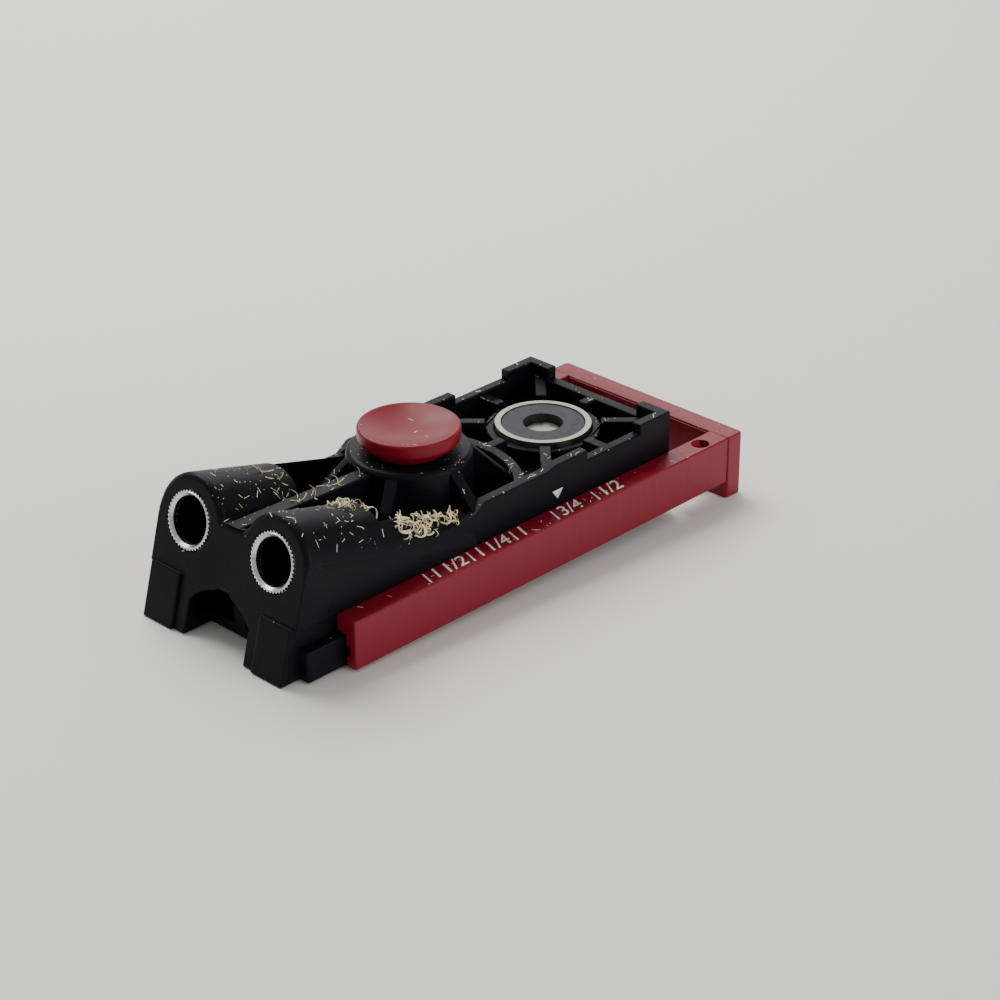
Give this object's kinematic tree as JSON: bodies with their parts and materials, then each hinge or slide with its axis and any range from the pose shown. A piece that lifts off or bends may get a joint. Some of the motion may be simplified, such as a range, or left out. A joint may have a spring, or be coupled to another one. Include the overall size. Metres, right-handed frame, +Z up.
{
  "type": "pocket hole jig",
  "caption": "Pocket hole jig: ribbed drill guide with angled steel bushings, a sliding thickness frame with an end stop, a push-button release and a magnetic clamp seat.",
  "frame": {"origin": "on the base face that lies on the board, midway between the drill axes, 60 mm in front of the bushing mouths", "axes": "+X along the jig from the bushings to the stop, +Y to the left of a user who drills, +Z up, away from the board"},
  "size_m": [0.126, 0.05, 0.034],
  "materials": {
    "black_nylon": "fine moulded grain",
    "bushing_steel": "turned, with a knurled edge",
    "red_plastic": "satin moulded",
    "button_plastic": "semi-gloss moulded",
    "zinc_steel": "zinc plated",
    "spring_steel": "drawn wire",
    "nickel_steel": "nickel plated",
    "ferrite": "ground"
  },
  "bodies": {
    "body": {"jig_body": "black_nylon", "right_bushing": "bushing_steel", "left_bushing": "bushing_steel", "magnet_pot": "nickel_steel", "clamp_magnet": "ferrite", "magnet_screw": "zinc_steel"},
    "frame": {"right_rail": "red_plastic", "left_rail": "red_plastic", "stop_bar": "red_plastic", "rail_pins": "zinc_steel"},
    "button": {"button_cap": "button_plastic", "button_spring": "spring_steel", "lock_plate": "zinc_steel", "lock_screw": "zinc_steel"}
  },
  "joints": [
    {"name": "frame_slide", "type": "slide", "parent": "body", "child": "frame", "axis": [1, 0, 0], "range_m": [-0.0118, 0.0355]},
    {"name": "button_press", "type": "slide", "parent": "body", "child": "button", "axis": [0, 0, -1], "range_m": [0, 0.0012], "stiffness_N_per_m": 600, "springref_m": -0.005, "deforming": ["button_spring"]}
  ]
}
